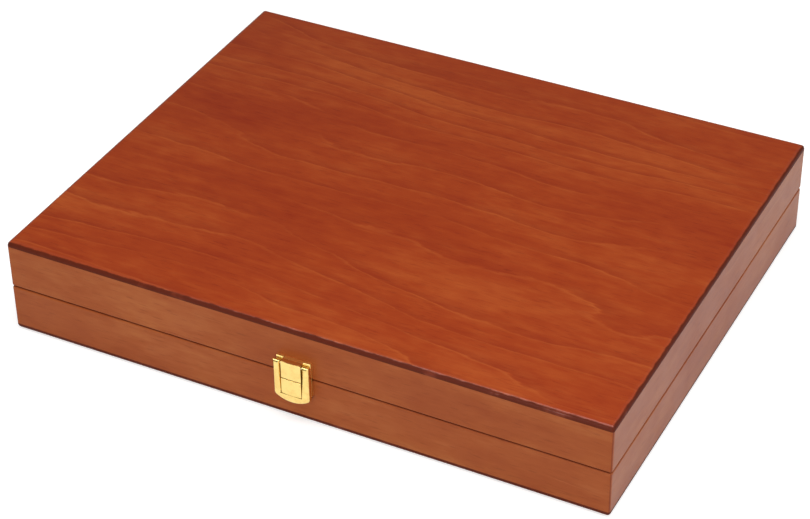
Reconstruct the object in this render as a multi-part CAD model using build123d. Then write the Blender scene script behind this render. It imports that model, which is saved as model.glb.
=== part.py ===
from build123d import *
from collections import namedtuple
import os

# Wooden chess case: a shallow box of mitred rails between two thin panels, hinged
# along the back, with a flap latch on the front and a fitted foam insert inside.
# Millimetres. The origin is the centre of the underside. +X is the case's right
# as seen from the front, +Y points to the hinged back and +Z points up.

# Wooden box
case_width = 370.0
case_depth = 293.0
base_height = 29.6
lid_height = 30.4
parting_gap = 0.3
panel_thickness = 3.2
panel_edge_radius = 2.4
rail_thickness = 9.0
corner_radius = 1.5
parting_edge_radius = 1.3

# Foam insert in the base and pad in the lid
floor_foam_thickness = 4.0
bed_foam_thickness = 18.0
foam_clearance = 0.4
foam_joint = 0.2
beds_per_side = 4
bed_corner_radius = 2.5
head_corner_share = 0.35
finger_well_radius = 13.0
pawn_head_gap = 2.0
lid_pad_thickness = 10.0
lid_pad_corner_radius = 6.0
lid_pad_edge_radius = 4.0

# Beds, one shape for each kind of chessman lying on its side
Bed = namedtuple("Bed", "length base_width base_length low_waist neck_width head_width head_length")
king_bed = Bed(92.0, 39.0, 10.0, 30.0, 20.0, 25.0, 24.0)
queen_bed = Bed(82.0, 37.0, 10.0, 28.0, 19.0, 25.0, 18.0)
bishop_bed = Bed(72.0, 34.0, 9.0, 25.0, 17.0, 21.0, 26.0)
knight_bed = Bed(62.0, 34.0, 9.0, 27.0, 27.0, 32.0, 40.0)
rook_bed = Bed(54.0, 34.0, 9.0, 26.0, 22.0, 27.0, 16.0)
pawn_bed = Bed(47.0, 30.0, 8.0, 22.0, 15.0, 19.0, 19.0)
bed_end_wall = 4.0
bed_side_wall = 2.4

# Butt hinges
hinge_length = 30.0
hinge_inset = 70.0
leaf_width = 7.6
leaf_thickness = 1.0
knuckle_count = 5
knuckle_radius = 2.1
knuckle_side_gap = 0.3
knuckle_to_back = 0.3
hinge_pin_radius = 0.8
hinge_pin_head_radius = 1.3
hinge_pin_head_length = 0.6

# Hinge screws
screw_spacing = 17.0
screw_from_back = 4.0
screw_length = 9.0
screw_radius = 0.9
screw_head_radius = 1.7
screw_head_height = 0.8
screw_tip_radius = 0.2
screw_slot_width = 0.5
screw_slot_depth = 0.35

# Latch plates
latch_plate_width = 21.2
latch_plate_thickness = 2.2
lid_plate_height = 11.4
base_plate_height = 10.3
plate_edge_radius = 1.0
ear_rise = 0.35
block_width = 12.3
block_side_depth = 5.2
block_crown = 0.3
keeper_width = 11.0
keeper_depth = 1.2
keeper_height = 8.6
keeper_drop = 0.6
keeper_edge_radius = 0.3
brad_radius = 0.6
brad_head_radius = 1.2
brad_head_height = 0.6
brad_length = 7.0
brad_to_parting = 4.6

# Latch flap
flap_width = 22.0
flap_depth = 5.8
flap_back_gap = 0.3
flap_side_gap = 0.5
flap_top_gap = 0.4
flap_edge_radius = 1.8
flap_corner_radius = 3.0
flap_below_parting = 15.85
flap_foot_bow = 3.8
foot_height = 5.3
tongue_side_depth = 5.4
leg_top_drop = 0.2
lip_gap = 0.4
latch_pin_radius = 0.55
latch_pin_reach = 3.0

# Clearances of pieces that are pressed, driven or let in, and of pieces that turn
seat_clearance = 0.02
running_clearance = 0.05

# Places that follow from the sizes above
front_y = -case_depth / 2
back_y = case_depth / 2
lid_bottom = base_height + parting_gap
case_height = lid_bottom + lid_height
parting_z = base_height + parting_gap / 2
inner_width = case_width - 2 * rail_thickness
inner_depth = case_depth - 2 * rail_thickness
hinge_offset_x = case_width / 2 - hinge_inset
hinge_axis_y = back_y + knuckle_radius + knuckle_to_back
foam_floor_top = panel_thickness + floor_foam_thickness
plate_front_y = front_y - latch_plate_thickness
flap_back_y = plate_front_y - flap_back_gap
flap_front_y = front_y - flap_depth
flap_thickness = flap_back_y - flap_front_y
leg_inner_x = block_width / 2 + flap_side_gap
latch_pin_y = flap_front_y + flap_thickness / 2
lid_plate_top = lid_bottom + lid_plate_height
block_top = lid_plate_top - ear_rise
leg_end_radius = flap_thickness / 2
latch_pin_z = block_top - leg_top_drop - leg_end_radius
foot_bottom = parting_z - flap_below_parting
foot_top = foot_bottom + foot_height
base_plate_bottom = base_height - base_plate_height
overrun = 1.0


def save(shape, node):
    """Writes one sub-part as parts/NODE.step."""
    shape.label = node
    export_step(shape, f"parts/{node}.step")


def slab(x_range, y_range, z_range):
    """A box between two limits along each axis, given in either order."""
    ranges = (x_range, y_range, z_range)
    size = [abs(high - low) for low, high in ranges]
    middle = [(high + low) / 2 for low, high in ranges]
    return Pos(*middle) * Box(*size)


def bar(radius, start, direction, length):
    """A round bar of the given radius from start along direction."""
    return extrude(Plane(start, z_dir=direction) * Circle(radius), length)


def front_plane(y):
    """The drawing plane that faces the front at depth y: its axes are the case's X and Z."""
    return Plane((0, y, 0), x_dir=(1, 0, 0), z_dir=(0, -1, 0))


# Wooden box


def panel(outside_z, outward):
    """A thin board with its outside edge rounded over all round."""
    outline = RectangleRounded(case_width, case_depth, corner_radius)
    board = extrude(Pos(0, 0, outside_z) * outline, -outward * panel_thickness)
    faces = board.faces().sort_by(Axis.Z)
    outside_face = faces[-1] if outward > 0 else faces[0]
    return fillet(outside_face.edges(), panel_edge_radius)


def wall_ring(half):
    """The walls of one half as a ring, eased along the outer edge of its parting face."""
    if half == "base":
        low, high = panel_thickness, base_height
    else:
        low, high = lid_bottom, case_height - panel_thickness
    outside = RectangleRounded(case_width, case_depth, corner_radius)
    opening = Rectangle(inner_width, inner_depth)
    ring = extrude(Pos(0, 0, low) * (outside - opening), high - low)
    ends = ring.faces().filter_by(Axis.Z).sort_by(Axis.Z)
    parting_face = ends[-1] if half == "base" else ends[0]
    return fillet(parting_face.outer_wire().edges(), parting_edge_radius)


def mitre_wedge(side):
    """The space that one mitred rail fills, seen from above, at the case's full height."""
    far = "back" if side in ("back", "right") else "front"
    way = 1 if far == "back" else -1
    half_width, half_depth = case_width / 2, case_depth / 2
    inner_x, inner_y = inner_width / 2, inner_depth / 2
    if side in ("front", "back"):
        corners = [
            (-half_width, way * half_depth),
            (half_width, way * half_depth),
            (inner_x, way * inner_y),
            (-inner_x, way * inner_y),
        ]
    else:
        corners = [
            (way * half_width, -half_depth),
            (way * half_width, half_depth),
            (way * inner_x, inner_y),
            (way * inner_x, -inner_y),
        ]
    return extrude(make_face(Polyline(*corners, close=True)), case_height)


def rails(half):
    """The four mitred rails of one half by side, with hinge seats and fixing holes cut in."""
    ring = wall_ring(half)
    rail = {side: ring & mitre_wedge(side) for side in ("front", "back", "left", "right")}
    for centre_x in hinge_centres():
        rail["back"] -= leaf_seat(half, centre_x)
    for x in screw_places():
        rail["back"] -= screw_blank(half, x, seat_clearance)
    for x in brad_places():
        rail["front"] -= brad(half, x, seat_clearance)
    return rail


# Butt hinges


def hinge_centres():
    """Where the two hinges sit along the back."""
    return (-hinge_offset_x, hinge_offset_x)


def screw_places():
    """Where the hinge screws stand along the back."""
    return [centre + way * screw_spacing / 2 for centre in hinge_centres() for way in (-1, 1)]


def leaf_levels(half):
    """A leaf's level at the parting face, and its level inside the wood."""
    if half == "base":
        return base_height, base_height - leaf_thickness
    return lid_bottom, lid_bottom + leaf_thickness


def leaf_seat(half, centre_x):
    """The shallow recess that a leaf is let into."""
    reach = hinge_length / 2 + seat_clearance
    return slab(
        (centre_x - reach, centre_x + reach),
        (back_y - leaf_width - seat_clearance, back_y + overrun),
        leaf_levels(half),
    )


def screw_blank(half, x, growth=0.0):
    """A countersunk wood screw without its slot, driven away from the parting face."""
    level, inside = leaf_levels(half)
    axis = Plane((x, back_y - screw_from_back, level), z_dir=(0, 0, inside - level))
    tip_length = screw_radius
    head = Pos(0, 0, screw_head_height / 2) * Cone(
        screw_head_radius + growth, screw_radius + growth, screw_head_height
    )
    shank = extrude(Circle(screw_radius + growth), screw_length - tip_length)
    tip = Pos(0, 0, screw_length - tip_length / 2) * Cone(
        screw_radius + growth, screw_tip_radius + growth, tip_length
    )
    return axis * (head + shank + tip)


def hinge_screw(half, x):
    """A hinge screw with the slot across its head."""
    level, inside = leaf_levels(half)
    way = 1 if inside > level else -1
    centre_y = back_y - screw_from_back
    slot = slab(
        (x - screw_head_radius - overrun, x + screw_head_radius + overrun),
        (centre_y - screw_slot_width / 2, centre_y + screw_slot_width / 2),
        (level - way * overrun, level + way * screw_slot_depth),
    )
    return screw_blank(half, x) - slot


def hinge_leaf(half, centre_x):
    """One leaf with its knuckles: the base has the first and every other one, the lid the rest."""
    start_x = centre_x - hinge_length / 2
    levels = leaf_levels(half)
    leaf = slab((start_x, start_x + hinge_length), (back_y - leaf_width, back_y), levels)
    pitch = hinge_length / knuckle_count
    for place in range(0 if half == "base" else 1, knuckle_count, 2):
        low = start_x + place * pitch + (knuckle_side_gap / 2 if place > 0 else 0)
        high = start_x + (place + 1) * pitch - (knuckle_side_gap / 2 if place < knuckle_count - 1 else 0)
        leaf += bar(knuckle_radius, (low, hinge_axis_y, parting_z), (1, 0, 0), high - low)
        leaf += slab((low, high), (back_y - overrun, hinge_axis_y), levels)
    clearance = seat_clearance if half == "base" else running_clearance
    bore_start = (start_x - overrun, hinge_axis_y, parting_z)
    leaf -= bar(hinge_pin_radius + clearance, bore_start, (1, 0, 0), hinge_length + 2 * overrun)
    for x in screw_places():
        leaf -= screw_blank(half, x, seat_clearance)
    return leaf


def hinge_pin(centre_x):
    """The pin through the knuckles, with a small button at each end."""
    start_x = centre_x - hinge_length / 2
    end_x = start_x + hinge_length
    pin = bar(hinge_pin_radius, (start_x, hinge_axis_y, parting_z), (1, 0, 0), hinge_length)
    for x, way in ((start_x, -1), (end_x, 1)):
        pin += bar(hinge_pin_head_radius, (x, hinge_axis_y, parting_z), (way, 0, 0), hinge_pin_head_length)
    return pin


# Latch


def brad_places():
    """Where the brads stand across the latch, in the middle of the strips behind the flap's legs."""
    middle = (leg_inner_x + latch_plate_width / 2) / 2
    return (-middle, middle)


def brad(half, x, growth=0.0):
    """A countersunk brad, flush with its plate and driven straight into the front rail."""
    z = base_height - brad_to_parting if half == "base" else lid_bottom + brad_to_parting
    axis = Plane((x, plate_front_y, z), z_dir=(0, 1, 0))
    head = Pos(0, 0, brad_head_height / 2) * Cone(
        brad_head_radius + growth, brad_radius + growth, brad_head_height
    )
    shank = extrude(Circle(brad_radius + growth), latch_plate_thickness + brad_length + growth)
    return axis * (head + shank)


def crowned_block(side_depth, low, high, back):
    """A block between two levels whose front bulges slightly from side to side."""
    half = block_width / 2
    side_y = front_y - side_depth
    front = ThreePointArc((-half, side_y), (0, side_y - block_crown), (half, side_y))
    rest = Polyline((half, side_y), (half, back), (-half, back), (-half, side_y))
    return extrude(Pos(0, 0, low) * make_face([front, rest]), high - low)


def latch_plate(low, high, parting_end):
    """A plate between two levels, its front rounded over except at the end by the parting line."""
    half_width = latch_plate_width / 2
    plate = slab((-half_width, half_width), (plate_front_y, front_y), (low, high))
    edges = plate.faces().sort_by(Axis.Y)[0].edges().sort_by(Axis.Z)
    return fillet(edges[1:] if parting_end == "low" else edges[:-1], plate_edge_radius)


def latch_lid_plate():
    """The lid's plate with two ears, and the block that carries the flap's pin."""
    half_width = latch_plate_width / 2
    between_ears = block_width / 2
    above_block = slab(
        (-between_ears, between_ears), (plate_front_y - overrun, front_y + overrun), (block_top, case_height)
    )
    plate = latch_plate(lid_bottom, lid_plate_top, "low") - above_block
    body = plate + crowned_block(block_side_depth, lid_bottom, block_top, front_y)
    bore_start = (-half_width, latch_pin_y, latch_pin_z)
    body -= bar(latch_pin_radius + seat_clearance, bore_start, (1, 0, 0), latch_plate_width)
    for x in brad_places():
        body -= brad("lid", x, seat_clearance)
    return body


def latch_base_plate():
    """The base's plate with the low keeper that the closed flap covers."""
    keeper_top = base_height - keeper_drop
    keeper = slab(
        (-keeper_width / 2, keeper_width / 2),
        (plate_front_y - keeper_depth, plate_front_y),
        (keeper_top - keeper_height, keeper_top),
    )
    keeper = fillet(keeper.faces().sort_by(Axis.Y)[0].edges(), keeper_edge_radius)
    body = latch_plate(base_plate_bottom, base_height, "high") + keeper
    for x in brad_places():
        body -= brad("base", x, seat_clearance)
    return body


def flap_outline():
    """The flap from the front, up to its pin: straight sides and a bowed foot with round corners."""
    half_width = flap_width / 2
    side_z = foot_bottom + flap_foot_bow
    foot = ThreePointArc((-half_width, side_z), (0, foot_bottom), (half_width, side_z))
    top_z = latch_pin_z + leg_end_radius
    sides = Polyline((half_width, side_z), (half_width, top_z), (-half_width, top_z), (-half_width, side_z))
    outline = make_face([foot, sides])
    return fillet(outline.vertices().group_by(Axis.Y)[0], flap_corner_radius)


def leg_easing(way):
    """What is taken off a leg's inner front edge to round it, from the foot upwards."""
    start_x = way * leg_inner_x
    centre_x = start_x + way * flap_edge_radius
    centre_y = flap_front_y + flap_edge_radius
    top_z = latch_pin_z + 2 * leg_end_radius
    corner = slab((start_x, centre_x), (flap_front_y, centre_y), (foot_top, top_z))
    return corner - bar(flap_edge_radius, (centre_x, centre_y, foot_top), (0, 0, 1), top_z - foot_top)


def latch_flap():
    """The flap: two round-fronted legs, a bowed foot and a tongue that carries on the lid's block."""
    half_width = flap_width / 2
    top_z = latch_pin_z + 2 * leg_end_radius
    flap = extrude(front_plane(flap_back_y) * flap_outline(), flap_thickness)
    outer_edges = flap.faces().sort_by(Axis.Y)[0].edges().sort_by(Axis.Z)[:-1]
    flap = fillet(outer_edges, flap_edge_radius)
    flap -= slab((-leg_inner_x, leg_inner_x), (flap_front_y, flap_back_y), (foot_top, top_z))
    flap -= leg_easing(-1)
    flap -= leg_easing(1)
    # The legs end in a rounding about the pin, so that they turn clear of the plate behind them.
    above_pin = slab((-half_width, half_width), (flap_back_y, flap_front_y), (latch_pin_z, top_z))
    rounding = bar(leg_end_radius, (-half_width, latch_pin_y, latch_pin_z), (1, 0, 0), flap_width)
    flap -= above_pin - rounding
    # The foot is thinned from behind, so that it passes in front of the keeper as the lid lifts.
    tongue_back_y = plate_front_y - keeper_depth - lip_gap
    flap -= slab((-leg_inner_x, leg_inner_x), (tongue_back_y, flap_back_y), (0, foot_top))
    tongue_low = foot_top - foot_height / 4
    tongue_high = lid_bottom - flap_top_gap
    flap += crowned_block(tongue_side_depth, tongue_low, tongue_high, tongue_back_y)
    for way in (-1, 1):
        bore_start = (way * (leg_inner_x - overrun), latch_pin_y, latch_pin_z)
        bore_depth = overrun + latch_pin_reach + running_clearance
        flap -= bar(latch_pin_radius + running_clearance, bore_start, (way, 0, 0), bore_depth)
    return flap


def latch_pin():
    """The pin held in the lid plate's block, with an end in each leg of the flap."""
    half_length = leg_inner_x + latch_pin_reach
    return bar(latch_pin_radius, (-half_length, latch_pin_y, latch_pin_z), (1, 0, 0), 2 * half_length)


# Foam insert and lid pad


def stretched(bed, along, across):
    """A bed with its lengths and its widths changed by a share each."""
    return Bed(
        length=along * bed.length,
        base_width=across * bed.base_width,
        base_length=along * bed.base_length,
        low_waist=across * bed.low_waist,
        neck_width=across * bed.neck_width,
        head_width=across * bed.head_width,
        head_length=along * bed.head_length,
    )


def bed_outline(bed):
    """A chessman's bed lying along +Y with its base at y = 0, and a finger well across its middle."""
    neck_y = bed.length - bed.head_length
    foot = Pos(0, bed.base_length / 2) * RectangleRounded(bed.base_width, bed.base_length, bed_corner_radius)
    body = make_face(
        Polyline(
            (-bed.low_waist / 2, bed.base_length / 2),
            (bed.low_waist / 2, bed.base_length / 2),
            (bed.neck_width / 2, neck_y + bed.head_length / 2),
            (-bed.neck_width / 2, neck_y + bed.head_length / 2),
            close=True,
        )
    )
    head = Pos(0, bed.length - bed.head_length / 2) * RectangleRounded(
        bed.head_width, bed.head_length, head_corner_share * min(bed.head_width, bed.head_length)
    )
    well = Pos(0, (bed.base_length + neck_y) / 2) * Circle(finger_well_radius)
    return body + foot + head + well


def pair_outline(bed):
    """Two beds of one kind lying head to head, joined into one."""
    length = bed_row_length([bed], True)
    near = bed_outline(bed)
    far = Pos(0, length) * Rot(0, 0, 180) * bed_outline(bed)
    link = Pos(0, length / 2) * Rectangle(bed.neck_width, pawn_head_gap + bed.head_length)
    return near + far + link


def bed_row_length(beds, paired):
    """How long a row of beds is along the case's depth."""
    longest = max(bed.length for bed in beds)
    return 2 * longest + pawn_head_gap if paired else longest


# Rows from the front to the back; each lists its beds from the middle of the case outwards.
bed_rows = {
    "pawn": ([pawn_bed] * beds_per_side, True),
    "knight_rook": ([knight_bed, knight_bed, rook_bed, rook_bed], False),
    "king_queen": ([king_bed, queen_bed, bishop_bed, bishop_bed], False),
}


def fitted_rows():
    """The rows with their beds stretched a little, to fill the case between their walls."""
    row_count = len(bed_rows)
    foam_depth = inner_depth - 2 * foam_clearance - (row_count - 1) * foam_joint
    foam_width = inner_width - 2 * foam_clearance - foam_joint
    room_along = foam_depth - 2 * row_count * bed_end_wall
    room_across = foam_width / (2 * beds_per_side) - 2 * bed_side_wall
    along = room_along / sum(bed_row_length(beds, paired) for beds, paired in bed_rows.values())
    across = room_across / max(bed.base_width for beds, paired in bed_rows.values() for bed in beds)
    rows = {}
    for name, (beds, paired) in bed_rows.items():
        rows[name] = ([stretched(bed, along, across) for bed in beds], paired)
    return rows


def row_places(rows):
    """Each row's nearest y and its depth, with the room that is left shared out between the rows."""
    lengths = [bed_row_length(beds, paired) for beds, paired in rows.values()]
    spare = inner_depth - 2 * foam_clearance - (len(lengths) - 1) * foam_joint - sum(lengths)
    end_wall = spare / (2 * len(lengths))
    places = []
    y = -inner_depth / 2 + foam_clearance
    for length in lengths:
        places.append((y, length + 2 * end_wall, end_wall))
        y += length + 2 * end_wall + foam_joint
    return places


def bed_block(side, row, place):
    """A foam block for one side's share of a row, with its beds cut through."""
    y, depth, end_wall = place
    outer_x = inner_width / 2 - foam_clearance
    inner_x = foam_joint / 2
    top = foam_floor_top + bed_foam_thickness
    block = slab((side * inner_x, side * outer_x), (y, y + depth), (foam_floor_top, top))
    beds, paired = row
    pitch = (outer_x - inner_x) / len(beds)
    for column, bed in enumerate(beds):
        outline = pair_outline(bed) if paired else bed_outline(bed)
        x = side * (inner_x + pitch * (column + 0.5))
        block -= extrude(Pos(x, y + end_wall, foam_floor_top) * outline, bed_foam_thickness)
    return block


def foam_floor():
    """The foam sheet under the beds."""
    half_x = inner_width / 2 - foam_clearance
    half_y = inner_depth / 2 - foam_clearance
    return slab((-half_x, half_x), (-half_y, half_y), (panel_thickness, foam_floor_top))


def lid_pad():
    """The soft pad under the lid's panel that keeps the chessmen in their beds."""
    outline = RectangleRounded(
        inner_width - 2 * foam_clearance, inner_depth - 2 * foam_clearance, lid_pad_corner_radius
    )
    pad = extrude(Pos(0, 0, case_height - panel_thickness) * outline, -lid_pad_thickness)
    return fillet(pad.faces().sort_by(Axis.Z)[0].edges(), lid_pad_edge_radius)


def main():
    os.makedirs("parts", exist_ok=True)
    save(panel(0, -1), "base_panel")
    save(panel(case_height, 1), "lid_panel")
    for half in ("base", "lid"):
        for side, rail in rails(half).items():
            save(rail, f"{half}_{side}_rail")
        save(Compound([hinge_screw(half, x) for x in screw_places()]), f"{half}_hinge_screws")
        save(Compound([brad(half, x) for x in brad_places()]), f"{half}_latch_brads")
        for centre_x, name in zip(hinge_centres(), ("left", "right")):
            save(hinge_leaf(half, centre_x), f"{name}_hinge_{half}_leaf")
    for centre_x, name in zip(hinge_centres(), ("left", "right")):
        save(hinge_pin(centre_x), f"{name}_hinge_pin")
    save(latch_lid_plate(), "latch_lid_plate")
    save(latch_base_plate(), "latch_base_plate")
    save(latch_flap(), "latch_flap")
    save(latch_pin(), "latch_pin")
    save(foam_floor(), "foam_floor")
    rows = fitted_rows()
    for (name, row), place in zip(rows.items(), row_places(rows)):
        save(bed_block(-1, row, place), f"left_{name}_beds")
        save(bed_block(1, row, place), f"right_{name}_beds")
    save(lid_pad(), "lid_pad")


main()
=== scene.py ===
# %% [markdown]
# A wooden chess case, closed, on a pale table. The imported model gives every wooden, brass
# and foam piece its size and place. This notebook gives those pieces their finish, and
# models by hand the ones whose soft edges and curves catch the light. All lengths are in
# metres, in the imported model's own frame, so a piece goes where the model says.

# %% Load the frame
import math

import bmesh
import bpy
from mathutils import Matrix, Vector


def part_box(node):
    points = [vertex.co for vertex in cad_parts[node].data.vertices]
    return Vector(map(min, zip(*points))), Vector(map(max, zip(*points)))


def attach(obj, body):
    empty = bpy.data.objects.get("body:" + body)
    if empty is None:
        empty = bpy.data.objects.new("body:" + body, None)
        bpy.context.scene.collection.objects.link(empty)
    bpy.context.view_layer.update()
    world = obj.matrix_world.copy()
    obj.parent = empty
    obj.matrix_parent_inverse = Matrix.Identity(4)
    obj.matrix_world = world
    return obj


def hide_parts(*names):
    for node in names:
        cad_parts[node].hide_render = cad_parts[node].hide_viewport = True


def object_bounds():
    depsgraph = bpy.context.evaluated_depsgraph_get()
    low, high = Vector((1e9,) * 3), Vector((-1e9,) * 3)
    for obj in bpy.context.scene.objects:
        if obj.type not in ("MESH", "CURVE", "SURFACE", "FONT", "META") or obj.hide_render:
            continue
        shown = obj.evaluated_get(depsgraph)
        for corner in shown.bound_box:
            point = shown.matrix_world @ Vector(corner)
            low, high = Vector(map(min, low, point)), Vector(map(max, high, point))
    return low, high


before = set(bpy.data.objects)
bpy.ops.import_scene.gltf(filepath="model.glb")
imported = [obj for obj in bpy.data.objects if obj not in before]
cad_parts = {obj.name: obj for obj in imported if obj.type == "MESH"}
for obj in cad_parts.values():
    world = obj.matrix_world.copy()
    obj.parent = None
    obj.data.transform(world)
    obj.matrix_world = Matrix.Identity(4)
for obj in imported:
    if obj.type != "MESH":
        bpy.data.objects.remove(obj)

cad_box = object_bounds()
millimetre = 0.001
print("packed model in mm", [[round(1000 * v, 2) for v in corner] for corner in cad_box])

# %% [markdown]
# The camera is a long lens that stands high, to the right of the case's front. Its place and
# its turn were found from the case's own straight edges in the photograph. A long lens keeps
# the far edges nearly as long as the near ones, which is why the case looks so calm.

# %% Camera
camera_tilt = math.radians(54.258)
camera_lean = math.radians(0.549)
camera_heading = math.radians(26.875)
bpy.ops.object.camera_add(
    location=(0.50893, -1.00295, 0.82145), rotation=(camera_tilt, camera_lean, camera_heading)
)
camera = bpy.context.object
camera.data.sensor_width = 36.0
camera.data.lens = 104.28
camera.data.clip_start = 0.01
bpy.context.scene.camera = camera
print("camera distance to the case", round(camera.location.length, 3))

# %% [markdown]
# Every material below is built from nodes in code. Two small helpers keep that readable: one
# adds a node, sets it and joins its inputs in one line, and one starts a material with its
# shader. An input that is given a socket is linked, and one that is given a number is set.

# %% Helpers for nodes
def put(tree, kind, inputs=None, **settings):
    """Adds a node, sets what it is told, and links or fills its inputs."""
    node = tree.nodes.new(kind)
    for name, value in settings.items():
        setattr(node, name, value)
    for name, value in (inputs or {}).items():
        if isinstance(value, bpy.types.NodeSocket):
            tree.links.new(value, node.inputs[name])
        else:
            node.inputs[name].default_value = value
    return node


def sums(tree, operation, first, second=0.0, third=0.0, clamp=False):
    """One step of arithmetic on plain values."""
    inputs = {0: first, 1: second, 2: third}
    return put(tree, "ShaderNodeMath", inputs, operation=operation, use_clamp=clamp).outputs[0]


def between(tree, value, low, high, to_low=0.0, to_high=1.0, smooth=True):
    """Turns a value's range into another range, held at both ends."""
    inputs = {"Value": value, "From Min": low, "From Max": high, "To Min": to_low, "To Max": to_high}
    kind = "SMOOTHSTEP" if smooth else "LINEAR"
    return put(tree, "ShaderNodeMapRange", inputs, interpolation_type=kind).outputs[0]


def blend_colours(tree, share, first, second, how="MIX"):
    """Mixes two colours by a share from 0 to 1."""
    inputs = {"Factor": share, "A": first, "B": second}
    node = tree.nodes.new("ShaderNodeMix")
    node.data_type = "RGBA"
    node.blend_type = how
    for socket, value in zip((node.inputs[0], node.inputs[6], node.inputs[7]), inputs.values()):
        if isinstance(value, bpy.types.NodeSocket):
            tree.links.new(value, socket)
        else:
            socket.default_value = value
    return node.outputs[2]


def noise(tree, place, scale, size=1.0, detail=2.0, roughness=0.5, distortion=0.0):
    """Cloudy noise on a stretched place: scale is how many clouds fit in a metre each way."""
    stretched = put(tree, "ShaderNodeMapping", {"Vector": place, "Scale": scale}).outputs[0]
    inputs = {"Vector": stretched, "Scale": size, "Detail": detail, "Roughness": roughness}
    inputs["Distortion"] = distortion
    return put(tree, "ShaderNodeTexNoise", inputs).outputs[0]


def new_material(name, **plain):
    """A material with its shader, whose plain inputs are set on the shader itself."""
    material = bpy.data.materials.new(name)
    material.use_nodes = True
    shader = material.node_tree.nodes["Principled BSDF"]
    for socket, value in plain.items():
        shader.inputs[socket.replace("_", " ")].default_value = value
    return material, material.node_tree, shader


def new_group(name, inputs, outputs):
    """A node group with named inputs and outputs, ready to be filled."""
    group = bpy.data.node_groups.new(name, "ShaderNodeTree")
    for socket, kind, value in inputs:
        made = group.interface.new_socket(name=socket, in_out="INPUT", socket_type=f"NodeSocket{kind}")
        if value is not None:
            made.default_value = value
    for socket, kind in outputs:
        group.interface.new_socket(name=socket, in_out="OUTPUT", socket_type=f"NodeSocket{kind}")
    entry = group.nodes.new("NodeGroupInput")
    leave = group.nodes.new("NodeGroupOutput")
    return group, entry.outputs, leave.inputs


def use_group(tree, group, **inputs):
    """Places a group in a material with that material's own values."""
    node = tree.nodes.new("ShaderNodeGroup")
    node.node_tree = group
    for name, value in inputs.items():
        socket = node.inputs[name.replace("_", " ")]
        if isinstance(value, bpy.types.NodeSocket):
            tree.links.new(value, socket)
        else:
            socket.default_value = value
    return node.outputs


def object_place(tree, turn=(0, 0, 0), shift=(0, 0, 0)):
    """Where a point is on the piece, in metres, turned so that the grain runs along X."""
    place = put(tree, "ShaderNodeTexCoord").outputs["Object"]
    inputs = {"Vector": place, "Rotation": turn, "Location": shift}
    return put(tree, "ShaderNodeMapping", inputs).outputs[0]

# %% [markdown]
# The photograph was taken on white with soft light from above and a little from the front
# right. The floor is a plain pale sheet. What the camera and polished brass see of it is
# lifted to white by a little glow on those rays only, so the case still leaves its shadow
# and gets no extra light.

# %% Floor
bpy.ops.object.select_all(action="DESELECT")
bpy.ops.mesh.primitive_plane_add(size=60, location=(0, 0, -0.2 * millimetre))
floor = bpy.context.object
floor.name = "floor"
floor_material, tree, shader = new_material("pale_floor", Roughness=0.8, Specular_IOR_Level=0.2)
shader.inputs["Base Color"].default_value = (0.70, 0.70, 0.70, 1)
shader.inputs["Emission Color"].default_value = (1, 1, 1, 1)
rays = put(tree, "ShaderNodeLightPath").outputs
glow = sums(tree, "MULTIPLY", rays["Is Camera Ray"], 0.52)
glow = sums(tree, "MULTIPLY_ADD", rays["Is Transmission Ray"], 0.52, glow)
glow = sums(tree, "MULTIPLY_ADD", rays["Is Glossy Ray"], 0.30, glow)
tree.links.new(glow, shader.inputs["Emission Strength"])
floor.data.materials.append(floor_material)

# %% Lamps and surroundings
def softbox(name, place, aim, width, height, power):
    """A rectangular lamp that faces a point."""
    turn = (Vector(aim) - Vector(place)).to_track_quat("-Z", "Y").to_euler()
    bpy.ops.object.light_add(type="AREA", location=place, rotation=turn)
    lamp = bpy.context.object
    lamp.name = name
    lamp.data.shape = "RECTANGLE"
    lamp.data.size = width
    lamp.data.size_y = height
    lamp.data.energy = power
    return lamp


softbox("overhead_softbox", (0.12, -0.20, 1.05), (0.04, -0.06, 0), 1.7, 0.75, 11.2)
softbox("front_softbox", (0.4, -1.9, 0.65), (0, 0, 0.03), 1.4, 0.8, 22.5)
softbox("side_softbox", (1.9, 0.3, 0.7), (0, 0, 0.03), 1.0, 0.8, 10)
world = bpy.data.worlds.new("surroundings")
world.use_nodes = True
world.node_tree.nodes["Background"].inputs["Color"].default_value = (1.0, 0.95, 0.87, 1)
world.node_tree.nodes["Background"].inputs["Strength"].default_value = 0.2
bpy.context.scene.world = world
bpy.context.scene.view_settings.view_transform = "Standard"

# %% [markdown]
# Both boards are faced with plain-sliced veneer. Its growth rings run along the board as long
# wavy lines some 20 mm apart, each one dark on its far side and fading, with a hair of light
# on its near side, and they loop where the knife met the tree's taper. A ramp across the
# board is bent by large soft clouds and only its fraction is kept, which jumps at every whole
# number: those jumps are the rings. One group makes them for all the wood, together with the
# cloudy tone left by the stain, the fine fibres and the pores.

# %% Wood figure
figure_inputs = [
    ("Place", "Vector", None),
    ("Cloud Scale", "Vector", (8, 20, 20)),
    ("Bend Scale", "Vector", (2.2, 7, 7)),
    ("Bend", "Float", 8.0),
    ("Rings per Metre", "Float", 45.0),
    ("Cover", "Float", 0.5),
]
figure_outputs = [
    ("Tone", "Float"),
    ("Rings", "Float"),
    ("Hairlines", "Float"),
    ("Pores", "Float"),
    ("Height", "Float"),
]
wood_figure, entry, leave = new_group("wood_figure", figure_inputs, figure_outputs)
place = entry["Place"]


def stretched_noise(tree, vector, scale, detail, roughness):
    """Cloudy noise whose stretch comes from a socket."""
    moved = put(tree, "ShaderNodeVectorMath", {0: vector, 1: scale}, operation="MULTIPLY").outputs[0]
    inputs = {"Vector": moved, "Scale": 1, "Detail": detail, "Roughness": roughness}
    return put(tree, "ShaderNodeTexNoise", inputs).outputs[0]


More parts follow.
